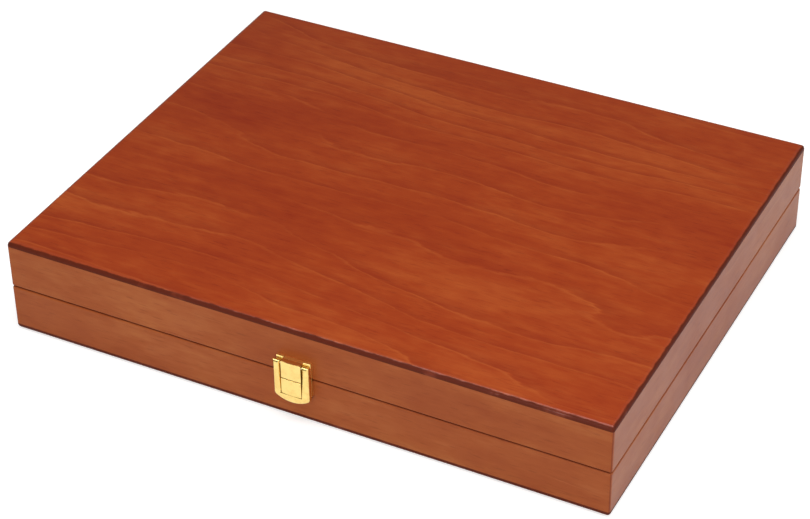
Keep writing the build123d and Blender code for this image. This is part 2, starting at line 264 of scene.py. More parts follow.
broad = stretched_noise(wood_figure, place, entry["Cloud Scale"], 4, 0.55)
mottle = noise(wood_figure, place, (60, 150, 150), detail=4)
fibres = noise(wood_figure, place, (90, 700, 700), detail=2)
ribs = noise(wood_figure, place, (12, 330, 330), detail=2)
across = put(wood_figure, "ShaderNodeSeparateXYZ", {"Vector": place}).outputs
across = sums(wood_figure, "ADD", across["Y"], across["Z"])
phase = stretched_noise(wood_figure, place, entry["Bend Scale"], 2, 0.45)
phase = sums(wood_figure, "MULTIPLY", phase, entry["Bend"])
phase = sums(wood_figure, "MULTIPLY_ADD", across, entry["Rings per Metre"], phase)
waver = noise(wood_figure, place, (14, 60, 60), detail=4)
phase = sums(wood_figure, "MULTIPLY_ADD", waver, 0.7, phase)
ragged = noise(wood_figure, place, (130, 600, 600), detail=2)
phase = sums(wood_figure, "MULTIPLY_ADD", ragged, 0.06, phase)
step = sums(wood_figure, "FRACT", phase)
fade = sums(wood_figure, "SUBTRACT", 1.0, between(wood_figure, step, 0.0, 0.42))
dark_side = sums(wood_figure, "MULTIPLY", fade, between(wood_figure, step, 0.0, 0.03))
light_side = between(wood_figure, step, 0.93, 0.985)
patches = noise(wood_figure, place, (7, 16, 16), detail=4, roughness=0.6)
cover = between(wood_figure, patches, sums(wood_figure, "SUBTRACT", 0.9, entry["Cover"]), 0.66)
wood_figure.links.new(sums(wood_figure, "MULTIPLY", dark_side, cover), leave["Rings"])
wood_figure.links.new(sums(wood_figure, "MULTIPLY", light_side, cover), leave["Hairlines"])
tone = sums(wood_figure, "MULTIPLY_ADD", mottle, 0.45, broad)
tone = sums(wood_figure, "MULTIPLY_ADD", ribs, 0.20, tone)
tone = sums(wood_figure, "MULTIPLY_ADD", fibres, 0.16, tone)
wood_figure.links.new(between(wood_figure, tone, 0.60, 1.20, smooth=False), leave["Tone"])
pores = between(wood_figure, noise(wood_figure, place, (110, 1500, 1500), detail=1), 0.60, 0.74)
wood_figure.links.new(pores, leave["Pores"])
height = sums(wood_figure, "MULTIPLY_ADD", pores, -0.6, sums(wood_figure, "MULTIPLY", fibres, 0.5))
wood_figure.links.new(height, leave["Height"])

# %% [markdown]
# The rounded edge of each board was stained much darker than its face, and the brush left a
# slightly uneven line along the top. The next group measures how far a point is outside the
# flat part of the board, whichever side is nearer, and turns that into the stain's mask.
# Just inside the stain the edge is polished by hands, so it gets more of the clear coat,
# and the lamps draw a thin line of light along it.

# %% Stained edge
stain_inputs = [
    ("Place", "Vector", None),
    ("Half Width", "Float", 0.185),
    ("Half Depth", "Float", 0.1465),
    ("Band", "Float", 0.0013),
    ("Softness", "Float", 0.0005),
]
stain_outputs = [("Mask", "Float"), ("Rub", "Float"), ("Polish", "Float")]
edge_stain, entry, leave = new_group("edge_stain", stain_inputs, stain_outputs)
parts = put(edge_stain, "ShaderNodeSeparateXYZ", {"Vector": entry["Place"]}).outputs
past_x = sums(edge_stain, "SUBTRACT", sums(edge_stain, "ABSOLUTE", parts["X"]), entry["Half Width"])
past_y = sums(edge_stain, "SUBTRACT", sums(edge_stain, "ABSOLUTE", parts["Y"]), entry["Half Depth"])
past = sums(edge_stain, "ADD", sums(edge_stain, "MAXIMUM", past_x, past_y), entry["Band"])
brush = noise(edge_stain, entry["Place"], (130, 130, 130), detail=4, roughness=0.6)
past = sums(edge_stain, "MULTIPLY_ADD", sums(edge_stain, "SUBTRACT", brush, 0.5), 0.0016, past)
mask = sums(edge_stain, "DIVIDE", past, entry["Softness"])
edge_stain.links.new(between(edge_stain, mask, -1.0, 1.0), leave["Mask"])
edge_stain.links.new(between(edge_stain, past, -0.0018, -0.0010), leave["Polish"])
rubbed = between(edge_stain, noise(edge_stain, entry["Place"], (60, 60, 60), detail=5), 0.58, 0.72)
edge_stain.links.new(rubbed, leave["Rub"])

# %% [markdown]
# Lacquer is never even. Handling polishes some places and dulls others, and the film dips a
# little over the pores. One group gives all the wood that slight change of roughness and a
# gentle waviness, so the reflections along the boards break up as they do on the real case.

# %% Lacquer
lacquer_inputs = [("Place", "Vector", None), ("Roughness", "Float", 0.42), ("Spread", "Float", 0.08)]
lacquer, entry, leave = new_group("lacquer", lacquer_inputs, [("Roughness", "Float"), ("Wave", "Float")])
smudges = noise(lacquer, entry["Place"], (22, 22, 22), detail=5, roughness=0.6)
smudges = between(lacquer, smudges, 0.3, 0.7, -1.0, 1.0, smooth=False)
film = sums(lacquer, "MULTIPLY_ADD", smudges, entry["Spread"], entry["Roughness"])
lacquer.links.new(film, leave["Roughness"])
lacquer.links.new(noise(lacquer, entry["Place"], (160, 160, 160), detail=3), leave["Wave"])

# %% [markdown]
# A thin red-brown line of painted shade runs along the groove where lid and base meet, standing
# for the shade in the gap; on the end rails it is paler, standing for the sheen over their seam.
# The rails take their own colour from the same figure as the boards, with
# finer rings, because they are sawn from solid wood. Light passes the stain twice, so where
# the wood drinks more of it every colour is raised to a power: green and blue go faster than
# red, and the dark places turn red-brown, not grey. A thin dark line also runs down each
# upright corner, where two rails meet and the brush turned.

# %% Wood materials
parting_z = (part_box("base_front_rail")[1].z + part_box("lid_front_rail")[0].z) / 2


def stained(colour, depth):
    """A colour under more stain, if depth is over 1, or under less."""
    return [value**depth for value in colour[:3]] + [1]


def wood_material(name, turn, middle, spread, figure, line_depth, coat, relief_share, band=None, seam_shade=None):
    """Stained and lacquered wood. Its grain runs along X once the place is turned."""
    dark, light = stained(middle, 1 + spread), stained(middle, 1 - spread)
    material, tree, shader = new_material(
        name, IOR=1.45, Specular_IOR_Level=0.2, Coat_Weight=coat, Coat_Roughness=0.14, Coat_IOR=1.45
    )
    place = object_place(tree, turn)
    wood = use_group(tree, wood_figure, Place=place, **figure)
    colour = blend_colours(tree, between(tree, wood["Tone"], 0.0, 0.5, smooth=False), dark, middle)
    colour = blend_colours(tree, between(tree, wood["Tone"], 0.5, 1.0, smooth=False), colour, light)
    lines = sums(tree, "MULTIPLY", wood["Rings"], line_depth)
    colour = blend_colours(tree, lines, colour, stained(middle, 1.5))
    hairlines = sums(tree, "MULTIPLY", wood["Hairlines"], line_depth)
    colour = blend_colours(tree, hairlines, colour, stained(middle, 0.7))
    pores = sums(tree, "MULTIPLY", wood["Pores"], 0.25)
    colour = blend_colours(tree, pores, colour, stained(middle, 1.9))
    film = use_group(tree, lacquer, Place=place, Roughness=0.5, Spread=0.06)
    roughness = film["Roughness"]
    # Painted shade: a darker line along the seam between lid and base stands for the shade in the gap.
    if seam_shade:
        level = put(tree, "ShaderNodeSeparateXYZ", {"Vector": place}).outputs["Z"]
        away = sums(tree, "ABSOLUTE", sums(tree, "SUBTRACT", level, parting_z))
        seam_shade_share = between(tree, away, 0.0002, 0.0007, 0.8, 0.0)
        colour = blend_colours(tree, seam_shade_share, colour, seam_shade)
        outside = put(tree, "ShaderNodeSeparateXYZ", {"Vector": object_place(tree)}).outputs
        past_x = sums(tree, "SUBTRACT", sums(tree, "ABSOLUTE", outside["X"]), half_width - 0.0010)
        past_y = sums(tree, "SUBTRACT", sums(tree, "ABSOLUTE", outside["Y"]), half_depth - 0.0010)
        corner = between(tree, sums(tree, "MINIMUM", past_x, past_y), 0.0, 0.0006, 0.0, 0.7)
        colour = blend_colours(tree, corner, colour, stained(middle, 1.7))
    if band:
        stain = use_group(tree, edge_stain, Place=place, Half_Width=half_width, Half_Depth=half_depth)
        kept = sums(tree, "SUBTRACT", 1.0, sums(tree, "MULTIPLY", stain["Rub"], 0.25))
        kept = sums(tree, "MULTIPLY", stain["Mask"], kept)
        colour = blend_colours(tree, kept, colour, band)
        roughness = sums(tree, "MULTIPLY_ADD", kept, 0.25, roughness)
        clear = sums(tree, "SUBTRACT", 1.0, sums(tree, "MULTIPLY", kept, 0.95))
        film_weight = sums(tree, "MULTIPLY_ADD", stain["Polish"], 0.95 - coat, coat)
        tree.links.new(sums(tree, "MULTIPLY", film_weight, clear), shader.inputs["Coat Weight"])
    tree.links.new(colour, shader.inputs["Base Color"])
    tree.links.new(roughness, shader.inputs["Roughness"])
    relief = sums(tree, "MULTIPLY_ADD", wood["Height"], 0.35, film["Wave"])
    bump = put(tree, "ShaderNodeBump", {"Height": relief, "Strength": relief_share, "Distance": 0.00006})
    tree.links.new(bump.outputs[0], shader.inputs["Normal"])
    return material


half_width, half_depth = cad_box[1][0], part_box("lid_panel")[1].y
quarter_turn = math.radians(90)
panel_figure = {
    "Cloud_Scale": (6, 17, 17),
    "Bend_Scale": (2.4, 7, 7),
    "Bend": 8.0,
    "Rings_per_Metre": 45.0,
    "Cover": 0.6,
}
panel_colour = (0.313, 0.0385, 0.0038, 1)
band_colour = (0.085, 0.0095, 0.0010, 1)
panel_veneer = wood_material(
    "panel_veneer",
    (0, 0, 0),
    panel_colour,
    spread=0.19,
    figure=panel_figure,
    line_depth=0.36,
    coat=0.35,
    relief_share=0.25,
    band=band_colour,
)
rail_figure = {
    "Cloud_Scale": (9, 30, 30),
    "Bend_Scale": (2.0, 9, 9),
    "Bend": 5.0,
    "Rings_per_Metre": 60.0,
    "Cover": 0.3,
}
rail_colour = (0.285, 0.064, 0.0120, 1)
# Painted shade for the seam between lid and base.
seam_shade_colour = (0.12, 0.013, 0.003, 1)
# The end rails' seam gets paler painted shade, standing for the sheen that washes over the seam on that side.
paler_seam_shade_colour = (0.27, 0.047, 0.0085, 1)
rail_wood = {}
for name, turn, spread, coat, relief_share, seam_shade in (
    ("along_x", 0, 0.18, 0.08, 0.1, seam_shade_colour),
    ("along_y", -quarter_turn, 0.15, 0.30, 0.05, paler_seam_shade_colour),
):
    rail_wood[name] = wood_material(
        f"rail_wood_{name}",
        (0, 0, turn),
        rail_colour,
        spread=spread,
        figure=rail_figure,
        line_depth=0.2,
        coat=coat,
        relief_share=relief_share,
        seam_shade=seam_shade,
    )
print("wood materials", panel_veneer.name, [m.name for m in rail_wood.values()])

# %% [markdown]
# The rails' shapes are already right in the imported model, with their mitres and eased
# parting edges, so they stay and only get their finish. Grain follows the length of a rail,
# so the front and back use one turn of the material and the two ends use the other.

# %% Finish the rails
def finish_node(node_name, material):
    """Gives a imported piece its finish."""
    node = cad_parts[node_name]
    node.data.materials.clear()
    node.data.materials.append(material)


for half in ("base", "lid"):
    for side in ("front", "back"):
        finish_node(f"{half}_{side}_rail", rail_wood["along_x"])
    for side in ("left", "right"):
        finish_node(f"{half}_{side}_rail", rail_wood["along_y"])

# %% [markdown]
# New pieces are shaped as one would by hand: a primitive is put in place, then edited. These
# helpers open a piece for editing, pick its parts by where they are, and soften edges.

# %% Helpers for shaping
def only(piece):
    """Selects one piece and nothing else."""
    bpy.ops.object.select_all(action="DESELECT")
    piece.select_set(True)
    bpy.context.view_layer.objects.active = piece


def block(name, low, high):
    """A cube set to a size and place, given its lowest and highest corners."""
    low, high = Vector(low), Vector(high)
    bpy.ops.object.select_all(action="DESELECT")
    bpy.ops.mesh.primitive_cube_add(size=1, location=(low + high) / 2)
    piece = bpy.context.object
    piece.name = piece.data.name = name
    piece.scale = high - low
    bpy.ops.object.transform_apply(location=True, rotation=True, scale=True)
    return piece


def open_piece(piece, kind):
    """Opens a piece for editing with nothing picked."""
    only(piece)
    bpy.ops.object.mode_set(mode="EDIT")
    bpy.ops.mesh.select_mode(type=kind)
    bpy.ops.mesh.select_all(action="DESELECT")


def pick(kind, test, sharper=None):
    """Picks the open piece's edges or faces whose corner places pass the test, and counts them."""
    shape = bmesh.from_edit_mesh(bpy.context.object.data)
    parts = shape.edges if kind == "EDGE" else shape.faces
    count = 0
    for part in parts:
        chosen = bool(test([corner.co for corner in part.verts]))
        if sharper is not None:
            chosen = chosen and part.calc_face_angle(0) > math.radians(sharper)
        part.select_set(chosen)
        count += chosen
    shape.select_flush_mode()
    bmesh.update_edit_mesh(bpy.context.object.data)
    return count


def all_near(places, axis, target):
    """Whether every place has the wanted level along an axis."""
    return all(near(place[axis], target) for place in places)


def close_piece(piece, angle=35):
    """Ends the editing: doubles merged, faces outwards, smooth where the surface is smooth."""
    bpy.ops.mesh.select_all(action="SELECT")
    bpy.ops.mesh.remove_doubles(threshold=1e-6)
    bpy.ops.mesh.normals_make_consistent(inside=False)
    bpy.ops.object.mode_set(mode="OBJECT")
    only(piece)
    bpy.ops.object.shade_smooth_by_angle(angle=math.radians(angle))
    return piece


def near(value, target, slack=0.00002):
    """Whether a length is the wanted one."""
    return abs(value - target) < slack


def soften(offset, segments=3):
    """Rounds the picked edges."""
    bpy.ops.mesh.bevel(
        offset=offset, segments=segments, profile=0.5, affect="EDGES", clamp_overlap=False
    )


def hand_over(piece, body, slot, *nodes):
    """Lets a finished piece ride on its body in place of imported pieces."""
    for modifier in list(piece.modifiers):
        only(piece)
        bpy.ops.object.modifier_apply(modifier=modifier.name)
    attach(piece, body)
    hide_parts(*nodes)
    faces = sum(len(face.vertices) - 2 for face in piece.data.polygons)
    print(piece.name, "rides on", body, "with", faces, "triangles")
    return piece

# %% [markdown]
# The lid's board and the bottom board are thin sheets with the outside edge rounded over all
# round. Most of the picture is this one surface and its dark edge, and a rounding in flat
# facets would break the thin line of light along it. Each board is a cube at the board's
# size. Edge weights let one bevel give the outside edge and the upright corners their own
# radius each, and it joins them cleanly where they meet.

# %% Boards
board_edge_radius = 2.4 * millimetre
board_corner_radius = 1.5 * millimetre
widest = max(board_edge_radius, board_corner_radius)


def board(name, node_name, body, outside):
    """A board with its outside edge rounded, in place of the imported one."""
    low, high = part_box(node_name)
    piece = block(name, low, high)
    level = high.z if outside > 0 else low.z
    open_piece(piece, "EDGE")
    pick("EDGE", lambda ends: all_near(ends, 2, level))
    bpy.ops.transform.edge_bevelweight(value=board_edge_radius / widest)
    pick("EDGE", lambda ends: not near(ends[0].z, ends[1].z))
    bpy.ops.transform.edge_bevelweight(value=board_corner_radius / widest)
    bpy.ops.object.mode_set(mode="OBJECT")
    rounding = piece.modifiers.new("rounding", "BEVEL")
    rounding.limit_method = "WEIGHT"
    rounding.width = widest
    rounding.segments = 10
    rounding.use_clamp_overlap = False
    only(piece)
    bpy.ops.object.modifier_apply(modifier="rounding")
    open_piece(piece, "FACE")
    close_piece(piece, 40)
    piece.data.materials.append(panel_veneer)
    return hand_over(piece, body, "panel_veneer", node_name)


board("lid_board", "lid_panel", "lid", 1)
board("bottom_board", "base_panel", "base", -1)

# %% [markdown]
# Polished brass shows its surroundings more than its own colour. What tells it from painted
# metal is the slight unevenness of the polish, fine rubbing marks and a warmer, duller tone
# where fingers do not reach. One group makes these for the latch, the hinges and their
# small fixings.

# %% Brass
polish_inputs = [("Place", "Vector", None), ("Wear", "Float", 0.5), ("Roughness", "Float", 0.2)]
polish_outputs = [("Tarnish", "Float"), ("Roughness", "Float"), ("Height", "Float")]
metal_polish, entry, leave = new_group("metal_polish", polish_inputs, polish_outputs)
cloudy = noise(metal_polish, entry["Place"], (260, 260, 260), detail=4)
tarnish = sums(metal_polish, "MULTIPLY", between(metal_polish, cloudy, 0.42, 0.70), entry["Wear"])
metal_polish.links.new(tarnish, leave["Tarnish"])
rubbing = noise(metal_polish, entry["Place"], (900, 5200, 5200), detail=2)
rubbing_about_zero = sums(metal_polish, "SUBTRACT", rubbing, 0.5)
rough = sums(metal_polish, "MULTIPLY_ADD", rubbing_about_zero, 0.10, entry["Roughness"])
rough = sums(metal_polish, "MULTIPLY_ADD", tarnish, 0.12, rough)
metal_polish.links.new(rough, leave["Roughness"])
pitting = noise(metal_polish, entry["Place"], (1500, 1500, 1500), detail=2)
metal_polish.links.new(sums(metal_polish, "MULTIPLY_ADD", rubbing, 0.3, pitting), leave["Height"])


def metal_material(name, bright, dull, wear, roughness, satin_behind=None):
    """Polished metal with faint clouds of tarnish and rubbing marks, satin past a level of Y."""
    material, tree, shader = new_material(name, Metallic=1.0)
    polish = use_group(tree, metal_polish, Place=object_place(tree), Wear=wear, Roughness=roughness)
    tree.links.new(blend_colours(tree, polish["Tarnish"], bright, dull), shader.inputs["Base Color"])
    rough = polish["Roughness"]
    if satin_behind is not None:
        depth = put(tree, "ShaderNodeSeparateXYZ", {"Vector": object_place(tree)}).outputs["Y"]
        satin = between(tree, depth, satin_behind - 0.0001, satin_behind + 0.0001, 0.0, 0.18)
        rough = sums(tree, "ADD", rough, satin)
    tree.links.new(rough, shader.inputs["Roughness"])
    relief = {"Height": polish["Height"], "Strength": 0.12, "Distance": 0.00002}
    bump = put(tree, "ShaderNodeBump", relief)
    tree.links.new(bump.outputs[0], shader.inputs["Normal"])
    return material


plate_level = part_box("latch_lid_plate")[1].y - 2.3 * millimetre
latch_brass = metal_material(
    "latch_brass", (0.95, 0.72, 0.26, 1), (0.80, 0.50, 0.13, 1), 0.35, 0.16, satin_behind=plate_level
)
hinge_brass = metal_material("hinge_brass", (0.88, 0.63, 0.22, 1), (0.66, 0.40, 0.11, 1), 0.7, 0.26)
brass_fixing = metal_material("brass_fixing", (0.86, 0.60, 0.21, 1), (0.60, 0.36, 0.10, 1), 0.8, 0.28)
steel_pin = metal_material("steel_pin", (0.62, 0.60, 0.57, 1), (0.40, 0.37, 0.33, 1), 0.6, 0.3)

# %% [markdown]
# An outline is traced the way one draws it: from one point, straight runs are extruded and
# round ones are spun about their centre, and the closed line is filled. That gives true arcs
# where a cube's subdivided side would need its points pushed about one by one.

# %% Helpers for tracing
def trace_from(name, start):
    """A lone point, open for editing, from which an outline is traced."""
    bpy.ops.object.select_all(action="DESELECT")
    bpy.ops.mesh.primitive_plane_add(size=millimetre, location=start)
    piece = bpy.context.object
    piece.name = piece.data.name = name
    bpy.ops.object.transform_apply(location=True, rotation=True, scale=True)
    bpy.ops.object.mode_set(mode="EDIT")
    bpy.ops.mesh.select_mode(type="VERT")
    bpy.ops.mesh.select_all(action="SELECT")
    bpy.ops.mesh.merge(type="CENTER")
    return piece


def run(x=0.0, y=0.0, z=0.0):
    """A straight run from the last point."""
    bpy.ops.mesh.extrude_region_move(TRANSFORM_OT_translate={"value": (x, y, z)})


def arc(centre, axis, degrees, steps):
    """A round run from the last point. The spin tool counts its angle the other way round."""
    bpy.ops.mesh.spin(steps=steps, angle=-math.radians(degrees), center=centre, axis=axis)


def fill_and_raise(x=0.0, y=0.0, z=0.0):
    """Closes the outline with a face and raises it into a solid."""
    bpy.ops.mesh.select_all(action="SELECT")
    bpy.ops.mesh.remove_doubles(threshold=1e-6)
    bpy.ops.mesh.edge_face_add()
    bpy.ops.mesh.extrude_region_move(TRANSFORM_OT_translate={"value": (x, y, z)})


def carve(piece, tool, how="DIFFERENCE"):
    """Cuts a piece with another, or joins them, and removes the tool."""
    only(piece)
    cut = piece.modifiers.new("cut", "BOOLEAN")
    cut.operation = how
    cut.solver = "EXACT"
    cut.object = tool
    bpy.ops.object.modifier_apply(modifier="cut")
    bpy.data.objects.remove(tool)
    return piece

# %% [markdown]
# The latch is the one bright thing on the case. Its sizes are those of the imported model: two
# plates, a block with the pin, and a flap with two round-fronted legs and a bowed foot.

# %% Latch sizes
plate_low, plate_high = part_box("latch_lid_plate")
flap_low, flap_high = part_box("latch_flap")
keep_low, keep_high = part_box("latch_base_plate")
half_plate = plate_high.x
half_flap = flap_high.x
front_face = plate_high.y
plate_front = front_face - 2.2 * millimetre
block_half = 6.15 * millimetre
block_crown = 0.3 * millimetre
leg_inner = block_half + 0.5 * millimetre
flap_back = plate_front - 0.3 * millimetre
flap_front = front_face - 5.8 * millimetre
latch_levels = (half_flap, front_face, plate_front, flap_low.z, flap_high.z)
print("latch in mm", [round(1000 * value, 2) for value in latch_levels])


def crowned(name, side_depth, low, high, back):
    """A block whose front bulges a little from side to side."""
    side_y = front_face - side_depth
    radius = (block_half**2 + block_crown**2) / (2 * block_crown)
    half_angle = math.degrees(math.asin(block_half / radius))
    centre = (0, side_y - block_crown + radius, low)
    piece = trace_from(name, (-block_half, back, low))
    run(y=side_y - back)
    arc(centre, (0, 0, 1), 2 * half_angle, 14)
    run(y=back - side_y)
    fill_and_raise(z=high - low)
    return piece


# %% [markdown]
# The lid's plate stands up in two small ears behind the legs' tops, with a solid block
# between them that holds the pin. A plate's front is rolled over along its sides and its
# outer end, as it is when sheet is pressed, and that is what catches the light beside and
# above the legs. The block is traced and raised apart and then joined to its plate, and its
# own edges are eased a little, which gives each edge of real brass its bright line.

# %% Helpers for the latch
def rod(name, radius, start, end, end_radius=None, sides=32):
    """A round or tapered bar between two points."""
    start, end = Vector(start), Vector(end)
    bpy.ops.object.select_all(action="DESELECT")
    bpy.ops.mesh.primitive_cone_add(
        vertices=sides,
        radius1=radius,
        radius2=radius if end_radius is None else end_radius,
        depth=(end - start).length,
        location=(start + end) / 2,
        rotation=(end - start).to_track_quat("Z", "Y").to_euler(),
    )
    piece = bpy.context.object
    piece.name = piece.data.name = name
    bpy.ops.object.transform_apply(location=True, rotation=True, scale=True)
    return piece


brad_hole_radius = 0.64 * millimetre
brad_sink_radius = 1.22 * millimetre
brad_sink_depth = 0.62 * millimetre


def drill_for_brads(plate, level):
    """The two countersunk holes that the brads sit in."""
    for x in (-brad_x, brad_x):
        face = (x, plate_front, level)
        sink_end = (x, plate_front + brad_sink_depth, level)
        carve(plate, rod("countersink", brad_sink_radius, face, sink_end, brad_hole_radius))
        hole_start = (x, plate_front + 0.3 * millimetre, level)
        hole_end = (x, front_face + millimetre, level)
        carve(plate, rod("hole", brad_hole_radius, hole_start, hole_end))


def ease_all(piece, width, angle=40):
    """Eases every sharp edge of a finished piece a little."""
    edges = piece.modifiers.new("eased_edges", "BEVEL")
    edges.limit_method = "ANGLE"
    edges.angle_limit = math.radians(angle)
    edges.width = width
    edges.segments = 2
    edges.use_clamp_overlap = True
    only(piece)
    bpy.ops.object.modifier_apply(modifier="eased_edges")
    return piece

# %% Upper plate
brad_x = (leg_inner + half_plate) / 2
pin_y = flap_front + (flap_back - flap_front) / 2
pin_z = flap_high.z - (flap_back - flap_front) / 2
ear_rise = 0.35 * millimetre


def pressed_plate(name, low, high, parting_end):
    """A plate between two levels, its front rolled over except by the parting line."""
    plate = block(name, (-half_plate, plate_front, low), (half_plate, front_face, high))
    open_piece(plate, "EDGE")
    rolled = pick(
        "EDGE", lambda ends: all_near(ends, 1, plate_front) and not all_near(ends, 2, parting_end)
    )
    soften(1.0 * millimetre, 8)
    close_piece(plate)
    print("rolled", rolled, "edges of", name)
    return plate


upper = pressed_plate("latch_upper_plate", plate_low.z, plate_high.z, plate_low.z)
block_top = plate_high.z - ear_rise
above_low = (-block_half, plate_front - millimetre, block_top)
above_high = (block_half, front_face + millimetre, 0.1)
carve(upper, block("above_block", above_low, above_high))
lid_block = crowned("latch_block", 5.2 * millimetre, plate_low.z, block_top, front_face - millimetre)
bpy.ops.mesh.select_mode(type="EDGE")
pick("EDGE", lambda ends: all(end.y < plate_front for end in ends), sharper=40)
soften(0.12 * millimetre, 3)
close_piece(lid_block)
carve(upper, lid_block, "UNION")
carve(upper, rod("pin_bore", 0.57 * millimetre, (-half_plate, pin_y, pin_z), (half_plate, pin_y, pin_z)))
drill_for_brads(upper, plate_low.z + 4.6 * millimetre)
open_piece(upper, "FACE")
close_piece(upper, 30)
upper.data.materials.append(latch_brass)
hand_over(upper, "lid", "latch_brass", "latch_lid_plate")

# %% [markdown]
# The lower plate is plain, with a low raised keeper in its middle that the closed flap covers.

# %% Lower plate
lower = pressed_plate("latch_lower_plate", keep_low.z, keep_high.z, keep_high.z)
keeper_half = 5.5 * millimetre
keeper_top = keep_high.z - 0.6 * millimetre
keeper = block(
    "keeper",
    (-keeper_half, keep_low.y, keeper_top - 8.6 * millimetre),
    (keeper_half, plate_front + 0.5 * millimetre, keeper_top),
)
open_piece(keeper, "EDGE")
pick("EDGE", lambda ends: all_near(ends, 1, keep_low.y))
soften(0.3 * millimetre, 3)
close_piece(keeper)
carve(lower, keeper, "UNION")
drill_for_brads(lower, keep_high.z - 4.6 * millimetre)
open_piece(lower, "FACE")
close_piece(lower, 30)
lower.data.materials.append(latch_brass)
hand_over(lower, "base", "latch_brass", "latch_base_plate")

# %% [markdown]
# The flap is a U with a bowed foot. Its outline is one closed line: down one side, round the
# corner, along the bow, round the other corner, up, and back round the window between the
# legs. Raised to its thickness, it gets its front edges rolled over, except along the top of
# the foot, where the centre panel joins on. The legs' tops are cut to a half round about the
# pin, so that they turn clear of the plate, and the foot is thinned from behind so that it
# passes in front of the keeper.

# %% Flap
foot_bottom = flap_low.z
foot_top = foot_bottom + 5.3 * millimetre
bow = 3.8 * millimetre
corner = 3.0 * millimetre
bow_radius = (half_flap**2 + bow**2) / (2 * bow)
bow_centre = (0, flap_back, foot_bottom + bow_radius)
corner_x = half_flap - corner
corner_z = bow_centre[2] - math.sqrt((bow_radius - corner) ** 2 - corner_x**2)
bow_angle = math.degrees(math.asin(corner_x / (bow_radius - corner)))
leg_width = half_flap - leg_inner
viewed_from_front = (0, -1, 0)
flap = trace_from("latch_flap_shaped", (-half_flap, flap_back, flap_high.z))
run(z=corner_z - flap_high.z)
arc((-corner_x, flap_back, corner_z), viewed_from_front, 90 - bow_angle, 8)
arc(bow_centre, viewed_from_front, 2 * bow_angle, 20)
arc((corner_x, flap_back, corner_z), viewed_from_front, 90 - bow_angle, 8)
run(z=flap_high.z - corner_z)
run(x=-leg_width)
run(z=foot_top - flap_high.z)
run(x=-2 * leg_inner)
run(z=flap_high.z - foot_top)
run(x=-leg_width)
fill_and_raise(y=flap_front - flap_back)
bpy.ops.mesh.select_mode(type="EDGE")
rolled = pick("EDGE", lambda ends: all_near(ends, 1, flap_front) and not (
    all_near(ends, 2, foot_top) or all_near(ends, 2, flap_high.z)
))
soften(1.8 * millimetre, 9)
close_piece(flap)
print("rolled", rolled, "edges of the flap")
ends_tool = block(
    "rounded_tops",
    (-half_flap - millimetre, flap_front - 0.002 * millimetre, 0.01),
    (half_flap + millimetre, flap_back + 0.002 * millimetre, flap_high.z),
)
open_piece(ends_tool, "EDGE")
pick("EDGE", lambda ends: all_near(ends, 2, flap_high.z) and not near(ends[0].x, ends[1].x))
soften((flap_back - flap_front) / 2, 10)
close_piece(ends_tool)
carve(flap, ends_tool, "INTERSECT")
tongue_back = keep_low.y - 0.4 * millimetre
thinning_low = (-leg_inner, tongue_back, 0.01)
thinning_high = (leg_inner, flap_back + millimetre, foot_top)
carve(flap, block("thinning", thinning_low, thinning_high))
tongue_top = plate_low.z - 0.4 * millimetre
tongue = crowned("tongue", 5.4 * millimetre, foot_top - 1.3 * millimetre, tongue_top, tongue_back)
bpy.ops.mesh.select_mode(type="EDGE")
pick("EDGE", lambda ends: all(end.y < tongue_back - 0.5 * millimetre for end in ends), sharper=40)
soften(0.12 * millimetre, 3)
close_piece(tongue)
carve(flap, tongue, "UNION")
bore_reach = 9.65 * millimetre
carve(flap, rod("leg_bores", 0.6 * millimetre, (-bore_reach, pin_y, pin_z), (bore_reach, pin_y, pin_z)))
open_piece(flap, "FACE")
close_piece(flap, 30)
flap.data.materials.append(latch_brass)
hand_over(flap, "latch_flap", "latch_brass", "latch_flap")
finish_node("latch_pin", steel_pin)
for node_name in ("base_latch_brads", "lid_latch_brads"):
    finish_node(node_name, brass_fixing)

# %% [markdown]
# The hinges sit in the back edge, where only their knuckles show on the closed case. Their
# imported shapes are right, so each one is copied, its loose triangles are merged into a closed
# mesh, flat areas become single faces, and its edges are eased for the light to catch.

# %% Helper for copies
def merged_copy(name, node_name):
    """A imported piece's own shape as a clean closed mesh with large flat faces."""
    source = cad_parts[node_name]
    piece = bpy.data.objects.new(name, source.data.copy())
    piece.data.name = name
    piece.data.materials.clear()
    bpy.context.scene.collection.objects.link(piece)
    open_piece(piece, "FACE")
    bpy.ops.mesh.select_all(action="SELECT")
    bpy.ops.mesh.remove_doubles(threshold=0.002 * millimetre)
    bpy.ops.mesh.dissolve_limited(angle_limit=math.radians(0.4))
    bpy.ops.mesh.normals_make_consistent(inside=False)
    bpy.ops.object.mode_set(mode="OBJECT")
    return piece


# %% Hinges
for side in ("left", "right"):
    for half in ("base", "lid"):
        node_name = f"{side}_hinge_{half}_leaf"
        leaf = merged_copy(f"{node_name}_eased", node_name)
        ease_all(leaf, 0.15 * millimetre)
        open_piece(leaf, "FACE")
        close_piece(leaf)
        leaf.data.materials.append(hinge_brass)
        hand_over(leaf, half, "hinge_brass", node_name)
    finish_node(f"{side}_hinge_pin", brass_fixing)
for half in ("base", "lid"):
    finish_node(f"{half}_hinge_screws", brass_fixing)

# %% [markdown]
# Inside, the chessmen lie in beds cut in firm foam and flocked dark green. Flock is a coat of
# short fibres, so it has no shine of its own, it looks paler where one sees along the fibres,
# and its edges are soft. Sheen gives the pale rim, and fine noise in colour and relief
# gives the fibres and the places where they were pressed down.

